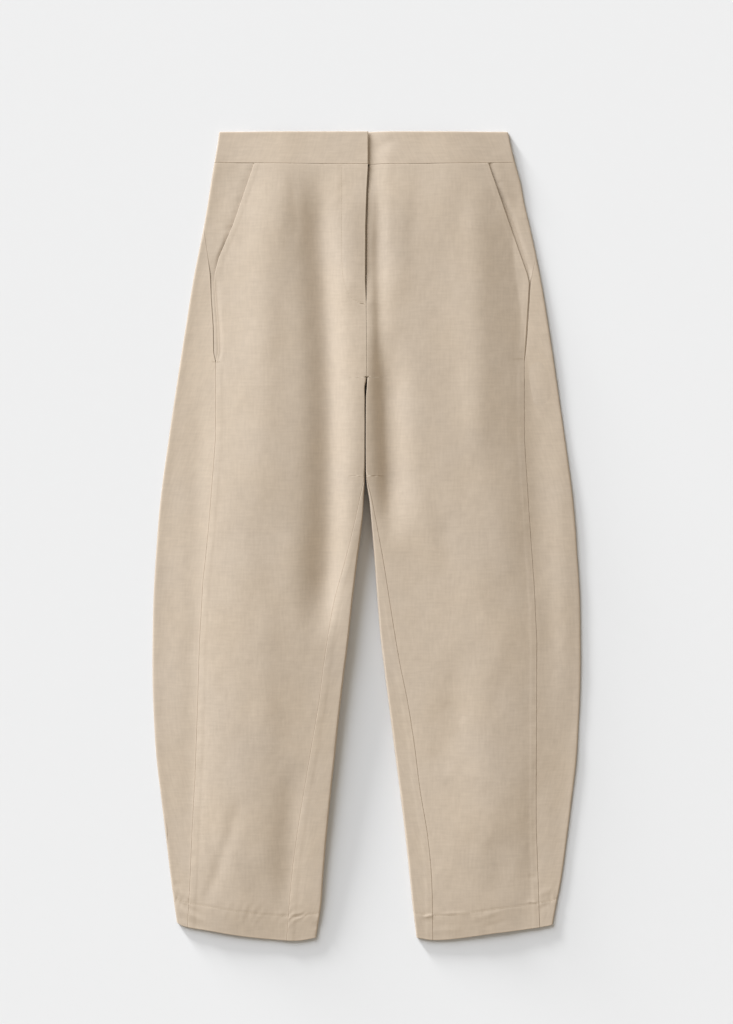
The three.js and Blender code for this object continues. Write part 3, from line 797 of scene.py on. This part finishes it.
def cloth_shell(name, half, rows, line_of_row, columns, relief, wall, sink=None):
    """A closed thin wall of cloth on the form of its solid."""
    g = lay_out(half, rows, line_of_row, columns)
    level, turned = relief(g)
    depth = 0 if sink is None else sink(g)
    thick = wall(g.row) if callable(wall) else wall
    limit = np.minimum(turned, thick * TURNED_LIMIT)
    outer = g.points + g.outward * (level - depth - limit)[..., None]
    inner = g.points + g.outward * (level - depth - thick)[..., None]
    high, wide = g.start.shape
    index = np.arange(high * wide).reshape(high, wide)
    a, b, c, d = index[:-1, :-1], index[:-1, 1:], index[1:, 1:], index[1:, :-1]
    count = high * wide
    face = np.stack([a, b, c, d], axis=-1).reshape(-1, 4)
    back = np.stack([a, d, c, b], axis=-1).reshape(-1, 4) + count
    rim = np.concatenate([index[0, :-1], index[:-1, -1], index[-1, :0:-1], index[:0:-1, 0]])
    after = np.roll(rim, -1)
    side = np.stack([after, rim, rim + count, after + count], axis=-1)
    quads = np.concatenate([face, back, side])
    if half.sign < 0:
        quads = quads[:, ::-1]
    mesh = bpy.data.meshes.new(name)
    corners = np.concatenate([outer.reshape(-1, 3), inner.reshape(-1, 3)])
    corners[:, 2] = np.maximum(corners[:, 2], 0)
    mesh.from_pydata((corners * MM).tolist(), [], quads.tolist())
    even = np.repeat(np.diff(rows) > CLOSEST_ROWS, wide - 1)
    mesh.polygons.foreach_set("use_smooth", np.concatenate([even, even, np.full(len(side), True)]))
    weave = np.stack([g.run, g.down, 0 * g.run], axis=-1).reshape(-1, 3) * MM
    mark(mesh, "weave", "FLOAT_VECTOR", np.concatenate([weave, weave]))
    nearest_edge = np.minimum(np.minimum(g.start, g.end), np.minimum(g.top, g.bottom))
    rubbed = np.exp(-((nearest_edge / RUBBED_WIDTH) ** 2))
    mark(mesh, "rubbed", "FLOAT", np.concatenate([rubbed.ravel(), 0 * rubbed.ravel()]))
    piece = bpy.data.objects.new(name, mesh)
    bpy.context.scene.collection.objects.link(piece)
    g.outer = outer
    return piece, g


def mark(mesh, name, kind, values):
    """Stores a measure at every corner of a mesh, for its material to read."""
    layer = mesh.attributes.new(name, kind, "POINT")
    layer.data.foreach_set("vector" if kind == "FLOAT_VECTOR" else "value",
                           np.ascontiguousarray(values, dtype=np.float32).ravel())


def hem_wall(row):
    return np.where(row >= HEM_STITCH, HEM_CLOTH, CLOTH)


def beside_fly(g):
    return underlap(g.row) * (1 - ease(*UNDERLAP_RAMP, g.x))


def beside_fly_on_top(g):
    return np.where(g.z > 2 * SOLID_BAND_WALL, beside_fly(g), 0)


def pocket_sink(half):
    """The pocket's cloth lies deep behind its mouth and flush along the side seam."""
    def sink(g):
        seam = np.minimum(half.back_end(g.row), half.outer(g.row))
        widest = mix(POCKET_DIP_TOP, POCKET_DIP[half.name], ease(POCKET_TOP, POCKET_DIP_FULL, g.row))
        run = np.clip(seam - half.front_end(g.row), POCKET_DIP_LEAST, widest)
        deep = CLOTH + SEAM_GAP + half.gape(g.row)
        at_seam = deep * ease(*POCKET_FORK, g.row) * (1 - ease(POCKET_DIP_LEAST, 5, run))
        return mix(deep, at_seam, ease(0, run, np.abs(g.x) - half.front_end(g.row)))
    return sink


def row_pair(level):
    return level - ROW_PAIR, ROW_PAIR, 2 * ROW_PAIR


front_rows = graded(BAND_DEPTH + SEAM_GAP, HEM_LEVEL, 2.5,
                    [(CROTCH_DOWN, 14, 1.0), row_pair(CROTCH_DOWN), (INSEAM_START, 12, 1.0),
                     row_pair(INSEAM_START), (HEM_STITCH, 4, 0.7), (FLY_END, 5, 1.0)])
back_rows = graded(BAND_DEPTH + SEAM_GAP, HEM_LEVEL, 3.1,
                   [(CROTCH_DOWN, 14, 1.2), (INSEAM_START, 12, 1.0), row_pair(INSEAM_START),
                    (HEM_STITCH, 4, 0.8)])
band_rows = graded(0, BAND_DEPTH, 1.8)
pocket_rows = graded(POCKET_TOP, POCKET_BOTTOM, 2.5)

cloth = {}
for half in (RIGHT, LEFT):
    side = half.name
    cloth["front_" + side] = cloth_shell(
        "front_panel_" + side, half, front_rows, front_panel(half), COLUMNS["front"],
        front_relief(half), hem_wall, beside_fly if half is LEFT else None)
    cloth["back_" + side] = cloth_shell(
        "back_panel_" + side, half, back_rows, back_panel(half), COLUMNS["back"], back_relief,
        hem_wall)
    cloth["waistband_" + side] = cloth_shell(
        "waistband_" + side + "_cloth", half, band_rows,
        band_line(half, -BAND_LAP_X if half is RIGHT else BAND_EXTENSION_X), COLUMNS["waistband"],
        band_relief, BAND_CLOTH, beside_fly_on_top if half is LEFT else None)
    cloth["pocket_" + side] = cloth_shell(
        "pocket_back_" + side, half, pocket_rows, pocket_line(half), COLUMNS["pocket"],
        pocket_relief, CLOTH, pocket_sink(half))

cloth["fly_shield"] = cloth_shell(
    "fly_shield_cloth", RIGHT, graded(*SHIELD_DOWN, 2.5), strip_line(*SHIELD_X), COLUMNS["shield"],
    plain_relief, CLOTH, lambda g: np.maximum(SHIELD_SINK, underlap(g.row) + SOLID_WALL + TUCK_GAP))
cloth["fly_zip"] = cloth_shell(
    "fly_zip_tape", RIGHT, graded(*ZIP_DOWN, 2.5), strip_line(*ZIP_X), COLUMNS["zip"],
    plain_relief, TAPE, lambda g: SOLID_WALL + TUCK_GAP + 0 * g.x)


# ---------------------------------------------------------------- thread and teeth
def tube_stitches(name, stitches, radius, sides=6, rings=5):
    """One mesh of short bowed threads. Each stitch is (start, stop, up) in millimetres; its ends
    dip into the cloth."""
    points, faces = [], []
    for start, stop, up in stitches:
        start, stop, up = (np.array(v, dtype=float) for v in (start, stop, up))
        ahead = stop - start
        ahead /= np.linalg.norm(ahead)
        aside = np.cross(ahead, up)
        aside /= np.linalg.norm(aside)
        first = len(points)
        for ring in range(rings):
            t = ring / (rings - 1)
            bow = math.sin(math.pi * t)
            centre = mix(start, stop, t) + up * radius * (1.5 * bow - 0.9)
            size = radius * (0.55 + 0.45 * bow)
            for k in range(sides):
                angle = math.tau * k / sides
                points.append(centre + size * (aside * math.cos(angle) + up * math.sin(angle)))
        for ring in range(rings - 1):
            for k in range(sides):
                a, b = first + ring * sides + k, first + ring * sides + (k + 1) % sides
                faces.append((a, b, b + sides, a + sides))
        faces.append(tuple(first + k for k in range(sides))[::-1])
        faces.append(tuple(first + (rings - 1) * sides + k for k in range(sides)))
    mesh = bpy.data.meshes.new(name)
    mesh.from_pydata((np.array(points) * MM).tolist(), [], faces)
    mesh.shade_smooth()
    piece = bpy.data.objects.new(name, mesh)
    bpy.context.scene.collection.objects.link(piece)
    return piece


def along_path(points, ups, length, gap):
    """Stitches of one length along a line of points, with the cloth's outward way at each."""
    line = Line(points)
    starts = np.arange(gap, line.total - length, length + gap)
    found = line.at(starts).points, line.at(starts + length).points
    way = np.stack([np.interp(starts + length / 2, line.length, ups[:, k]) for k in range(3)], axis=1)
    return [(a, b, up / np.linalg.norm(up)) for a, b, up in zip(*found, way)]


STITCH, STITCH_GAP = 2.7, 0.5
THREAD, FLY_TACK_THREAD, POCKET_TACK_THREAD, COIL_WIRE = 0.19, 0.22, 0.24, 0.3


def hem_stitches(half):
    found = []
    for part in ("front_", "back_"):
        g = cloth[part + half.name][1]
        i = int(np.argmin(np.abs(g.row[:, 0] - HEM_STITCH)))
        found += along_path(g.outer[i], g.outward[i], STITCH, STITCH_GAP)
    return tube_stitches("hem_stitches_" + half.name, found, THREAD)


def on_cloth(*nodes):
    """Finds the highest place on some pieces, and the outward way there, seen from above."""
    trees = []
    for node in nodes:
        mesh = cloth[node][0].data
        faces = [face.vertices for face in mesh.polygons]
        trees.append(BVHTree.FromPolygons([v.co for v in mesh.vertices], faces))

    def found(x, down):
        above = Vector((x, HALF_LENGTH - down, 100)) * MM
        hits = [tree.ray_cast(above, Vector((0, 0, -1)))[:2] for tree in trees]
        place, up = max((hit for hit in hits if hit[0] is not None), key=lambda hit: hit[0].z)
        return np.array(place) / MM, np.array(up)
    return found


def path_on(find, xs, downs):
    hits = [find(x, down) for x, down in zip(xs, downs)]
    return np.array([h[0] for h in hits]), np.array([h[1] for h in hits])


def tack(find, x0, down0, x1, down1, rows=7, width=1.6):
    """Close threads laid across a short bar."""
    found = []
    for t in np.linspace(0, 1, rows):
        x, down = mix(x0, x1, t), mix(down0, down1, t)
        (a, up), (b, _) = find(x - 0.2, down - width / 2), find(x + 0.2, down + width / 2)
        found.append((a + up * 0.15, b + up * 0.15, up))
    return found


on_right, on_left = on_cloth("front_right", "back_right"), on_cloth("front_left", "back_left")
steps = np.linspace(0, 1, 90)
spots = np.linspace(0, 1, len(FLY_STITCH["x"]))
fly_points, fly_ups = path_on(on_right, np.interp(steps, spots, FLY_STITCH["x"]),
                              np.interp(steps, spots, FLY_STITCH["down"]))
fly_run = along_path(fly_points, fly_ups, STITCH, STITCH_GAP)
fly_stitches = tube_stitches("fly_stitches", fly_run, THREAD)
hem_right, hem_left = hem_stitches(RIGHT), hem_stitches(LEFT)
fly_bar, right_bar, left_bar = zip(*TACKS.values())
fly_tack = tube_stitches("fly_tack", tack(on_right, *fly_bar), FLY_TACK_THREAD)
tack_right = tube_stitches("pocket_tack_right", tack(on_right, *right_bar), POCKET_TACK_THREAD)
tack_left = tube_stitches("pocket_tack_left", tack(on_left, *left_bar), POCKET_TACK_THREAD)

# Coil of the closed zip, lying on its tape
tape_find = on_cloth("fly_zip")
coil_turns = []
for down in np.arange(*COIL_DOWN, COIL_PITCH):
    (a, up), (b, _) = tape_find(COIL_X[0], down), tape_find(COIL_X[1], down + COIL_PITCH / 3)
    coil_turns.append((a + up * 0.25, b + up * 0.25, up))
zip_coil = tube_stitches("fly_zip_coil", coil_turns, COIL_WIRE)


# ---------------------------------------------------------------- finishes
class Reading:
    """A socket that carries a value over the surface; sums on it add Math nodes."""

    def __init__(self, finish, socket):
        self.finish, self.socket = finish, socket

    def sum(self, operation, *values):
        return self.finish.node("ShaderNodeMath", {"operation": operation}, dict(enumerate(values)))

    def __add__(self, other):
        return self.sum("ADD", self, other)

    def __sub__(self, other):
        return self.sum("SUBTRACT", self, other)

    def __mul__(self, other):
        return self.sum("MULTIPLY", self, other)

    __radd__, __rmul__ = __add__, __mul__


class Finish:
    """A material made of nodes, all added by one method."""

    def __init__(self, name):
        self.material = bpy.data.materials.new(name)
        self.material.use_nodes = True
        self.material.node_tree.nodes.clear()

    def node(self, kind, settings=None, sockets=None, out=0):
        tree = self.material.node_tree
        node = tree.nodes.new(kind)
        for key, value in (settings or {}).items():
            setattr(node, key, value)
        for key, value in (sockets or {}).items():
            if isinstance(value, Reading):
                tree.links.new(value.socket, node.inputs[key])
            else:
                node.inputs[key].default_value = value
        return Reading(self, node.outputs[out])

    def noise(self, at, scale, detail=2.0, roughness=0.5):
        return self.node("ShaderNodeTexNoise", {}, {"Vector": at, "Scale": scale, "Detail": detail,
                                                    "Roughness": roughness})

    def times(self, place, factors):
        return self.node("ShaderNodeVectorMath", {"operation": "MULTIPLY"}, {0: place, 1: factors})

    def between(self, share, low, high):
        """A colour between two, by a share."""
        return self.node("ShaderNodeMix", {"data_type": "RGBA"}, {0: share, 6: low, 7: high}, out=2)

    def surface(self, **sockets):
        named = {key.replace("_", " "): value for key, value in sockets.items()}
        shader = self.node("ShaderNodeBsdfPrincipled", {}, named)
        tree = self.material.node_tree
        end = tree.nodes.new("ShaderNodeOutputMaterial")
        tree.links.new(shader.socket, end.inputs["Surface"])
        return self.material


def shade(colour, factor):
    return tuple(part * factor for part in colour[:3]) + (1.0,)


SAND = (0.568, 0.468, 0.364, 1.0)


def twill(name, colour, turn=0.0, smoothness=0.0):
    """Brushed cotton twill: diagonal wales, slubs in the yarn, uneven dye, rubbed edges."""
    f = Finish(name)
    weave = f.node("ShaderNodeAttribute", {"attribute_name": "weave"}, out="Vector")
    rubbed = f.node("ShaderNodeAttribute", {"attribute_name": "rubbed"}, out="Fac")
    turned = f.node("ShaderNodeVectorRotate", {"rotation_type": "Z_AXIS"},
                    {"Vector": weave, "Angle": turn})
    wales = f.node("ShaderNodeTexWave", {"wave_type": "BANDS", "bands_direction": "DIAGONAL"},
                   {"Vector": turned, "Scale": 420.0, "Distortion": 1.2, "Detail": 1.0,
                    "Detail Scale": 1.4})
    stretched = f.times(turned, (1.0, 0.18, 1.0))
    slubs = f.noise(stretched, 900.0, 2.0)
    fibres = f.noise(turned, 2600.0, 2.0, 0.6)
    warp, weft = f.times(turned, (8.0, 1.0, 1.0)), f.times(turned, (1.0, 8.0, 1.0))
    yarns = f.noise(warp, 48.0, 2.0) + f.noise(weft, 52.0, 2.0)
    dye = f.noise(weave, 26.0, 3.0, 0.55)
    patches = f.noise(weave, 95.0, 2.0)
    tone = 0.5 + (dye - 0.5) * 0.45 + (patches - 0.5) * 0.42 + (slubs - 0.5) * 0.36
    tone = tone + (wales - 0.5) * 0.16 + (fibres - 0.5) * 0.20 + (yarns - 1.0) * 0.80
    cloth_colour = f.between(tone, shade(colour, 0.90), shade(colour, 1.09))
    warm = f.between(f.noise(weave, 11.0, 2.0), (0.985, 1.0, 1.03, 1.0), (1.015, 1.0, 0.965, 1.0))
    tinted = f.node("ShaderNodeMix", {"data_type": "RGBA", "blend_type": "MULTIPLY"},
                    {0: 1.0, 6: cloth_colour, 7: warm}, out=2)
    worn = f.between(rubbed * 0.35 * (0.4 + slubs), tinted, shade(colour, 1.16))
    height = wales * (0.6 - smoothness) + slubs * 0.7 + fibres * 0.35
    bump = f.node("ShaderNodeBump", {}, {"Strength": 0.35, "Distance": 0.00012, "Height": height})
    rough = 0.84 + (slubs - 0.5) * 0.12 - rubbed * 0.06
    return f.surface(Base_Color=worn, Roughness=rough, Normal=bump, Specular_IOR_Level=0.15,
                     Sheen_Weight=0.08, Sheen_Roughness=0.45, Sheen_Tint=(1.0, 0.96, 0.9, 1.0))


def plain_weave(name, colour):
    """Woven zip tape: fine ribs along its length."""
    f = Finish(name)
    weave = f.node("ShaderNodeAttribute", {"attribute_name": "weave"}, out="Vector")
    ribs = f.node("ShaderNodeTexWave", {"wave_type": "BANDS", "bands_direction": "X"},
                  {"Vector": weave, "Scale": 520.0, "Distortion": 0.6})
    yarn = f.noise(weave, 1800.0)
    colours = f.between(0.5 * ribs + 0.5 * yarn, shade(colour, 0.84), shade(colour, 1.08))
    bump = f.node("ShaderNodeBump", {}, {"Strength": 0.4, "Distance": 0.0001, "Height": ribs + yarn})
    return f.surface(Base_Color=colours, Roughness=0.7 + yarn * 0.1, Normal=bump)


def thread_finish(name, colour):
    """Twisted sewing thread with a little lustre."""
    f = Finish(name)
    at = f.node("ShaderNodeTexCoord", {}, out="Object")
    twist = f.node("ShaderNodeTexWave", {"wave_type": "BANDS", "bands_direction": "DIAGONAL"},
                   {"Vector": at, "Scale": 1400.0, "Distortion": 0.8})
    lengths = f.noise(at, 180.0)
    colours = f.between(0.6 * twist + 0.4 * lengths, shade(colour, 0.82), shade(colour, 1.10))
    bump = f.node("ShaderNodeBump", {}, {"Strength": 0.5, "Distance": 0.00008, "Height": twist})
    return f.surface(Base_Color=colours, Roughness=0.5 + lengths * 0.1, Normal=bump)


def nylon_finish(name, colour):
    f = Finish(name)
    at = f.node("ShaderNodeTexCoord", {}, out="Object")
    cast = f.noise(at, 700.0)
    return f.surface(Base_Color=f.between(cast, shade(colour, 0.9), shade(colour, 1.06)),
                     Roughness=0.34 + cast * 0.12)


def brushed_metal(name, colour):
    """Pressed steel, brushed one way, with small scuffs."""
    f = Finish(name)
    at = f.node("ShaderNodeTexCoord", {}, out="Object")
    brush, scuffs = f.noise(f.times(at, (0.06, 1.0, 1.0)), 2400.0, 3.0), f.noise(at, 420.0, 4.0)
    colours = f.between(scuffs, shade(colour, 0.82), shade(colour, 1.1))
    bump = f.node("ShaderNodeBump", {}, {"Strength": 0.25, "Distance": 0.00005, "Height": brush})
    return f.surface(Base_Color=colours, Metallic=1.0, Roughness=0.26 + brush * 0.16 + scuffs * 0.06,
                     Normal=bump)


def floor_finish(name, colour):
    f = Finish(name)
    at = f.node("ShaderNodeTexCoord", {}, out="Object")
    grain = f.noise(at, 60.0, 3.0)
    return f.surface(Base_Color=f.between(grain, shade(colour, 0.995), shade(colour, 1.005)),
                     Roughness=0.9)


sand_twill = twill("sand_twill", SAND)
band_twill = twill("sand_twill_crosswise", SAND, math.pi / 2, 0.1)
facing_twill = twill("sand_twill_facing", shade(SAND, 0.97))
tape_weave = plain_weave("zip_tape_weave", shade(SAND, 0.8))
sand_thread = thread_finish("sand_thread", (0.56, 0.46, 0.335, 1.0))
coil_nylon = nylon_finish("zip_coil_nylon", (0.42, 0.35, 0.26, 1.0))
hook_steel = brushed_metal("hook_steel", (0.62, 0.61, 0.59, 1.0))

# ---------------------------------------------------------------- finishes on the pieces, in place of the solids
# node: material, slot, flat width and length of the cut in metres, flat area, what it rests on
SHEETS = {
    "front_right": (sand_twill, "twill_front", (0.235, 0.962), 0.168, ["back_panel_right"]),
    "front_left": (sand_twill, "twill_front", (0.235, 0.962), 0.168, ["back_panel_left"]),
    "back_right": (sand_twill, "twill_back", (0.335, 0.962), 0.262, []),
    "back_left": (sand_twill, "twill_back", (0.335, 0.962), 0.262, []),
    "waistband_right": (band_twill, "twill_band", (0.380, 0.041), None, ["back_panel_right"]),
    "waistband_left": (band_twill, "twill_band", (0.410, 0.041), None, ["back_panel_left"]),
    "pocket_right": (facing_twill, "twill_pocket", (0.095, 0.258), 0.017, ["back_panel_right"]),
    "pocket_left": (facing_twill, "twill_pocket", (0.095, 0.258), 0.017, ["back_panel_left"]),
    "fly_shield": (facing_twill, "twill_pocket", (0.043, 0.181), None, ["back_panel_right"]),
    "fly_zip": (tape_weave, "zip_tape", (0.0215, 0.158), None, ["fly_shield_cloth"]),
}
SEWN_ON = {
    "front_right": [fly_stitches, hem_right, fly_tack, tack_right],
    "front_left": [hem_left, tack_left],
    "fly_zip": [zip_coil],
}
for node, (finish, slot, flat, area, rests_on) in SHEETS.items():
    piece, g = cloth[node]
    piece.data.materials.append(finish)
    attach(piece, "root")
    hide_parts(node)
    sewn = SEWN_ON.get(node, [])
    for extra in sewn:
        extra.data.materials.append(coil_nylon if extra is zip_coil else sand_thread)
        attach(extra, "root")

for node in ("waist_hook", "waist_bar"):
    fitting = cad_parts[node]
    fitting.data.materials.clear()
    fitting.data.materials.append(hook_steel)

# ---------------------------------------------------------------- floor, light and camera
FLOOR_HALF = 4.0
ground = bpy.data.meshes.new("pale_floor")
square = (-1, -1), (1, -1), (1, 1), (-1, 1)
ground.from_pydata([(x * FLOOR_HALF, y * FLOOR_HALF, 0) for x, y in square], [], [(0, 1, 2, 3)])
floor = bpy.data.objects.new("pale_floor", ground)
bpy.context.scene.collection.objects.link(floor)
ground.materials.append(floor_finish("pale_floor", (0.6185, 0.6165, 0.6145, 1.0)))

# The photo's height at the garment, how far its middle is above the garment's, and the distance
PHOTO_HEIGHT = 1.264
PHOTO_MIDDLE = 0.030
GARMENT_HEIGHT = 0.012
CAMERA_ABOVE = 3.4
lens = bpy.data.cameras.new("camera")
lens.lens = lens.sensor_width * CAMERA_ABOVE / PHOTO_HEIGHT
lens.clip_start, lens.clip_end = 0.05, 60
camera = bpy.data.objects.new("camera", lens)
camera.location = (0, PHOTO_MIDDLE, GARMENT_HEIGHT + CAMERA_ABOVE)
bpy.context.scene.collection.objects.link(camera)
bpy.context.scene.camera = camera


def soft_light(name, azimuth, elevation, spread_angle, strength, tint, lit=None):
    """Even light from far off, as soft as a wide diffuser: it falls the same on all of the floor.
    With lit given, only those pieces take its light, though all of them still shade it."""
    lamp = bpy.data.lights.new(name, "SUN")
    lamp.angle, lamp.energy, lamp.color = math.radians(spread_angle), strength, tint
    light = bpy.data.objects.new(name, lamp)
    turn, tilt = math.radians(azimuth), math.radians(elevation)
    source = Vector((math.cos(turn) * math.cos(tilt), math.sin(turn) * math.cos(tilt), math.sin(tilt)))
    light.rotation_euler = (-source).to_track_quat("-Z", "Y").to_euler()
    light.location = 5 * source
    bpy.context.scene.collection.objects.link(light)
    if lit is not None:
        light.light_linking.receiver_collection = lit


floor_only = bpy.data.collections.new("floor_only")
floor_only.objects.link(floor)
soft_light("low_diffuser", 124, 5, 9, 13.7, (0.97, 0.985, 1.0), floor_only)
soft_light("key_diffuser", 130, 22, 45, 5.2, (0.845, 0.907, 1.0))
world = bpy.data.worlds.new("studio")
world.use_nodes = True
fill = world.node_tree.nodes["Background"].inputs
fill["Color"].default_value, fill["Strength"].default_value = (1.0, 0.92, 0.80, 1.0), 0.48
bpy.context.scene.world = world
bpy.context.scene.view_settings.view_transform = "Standard"
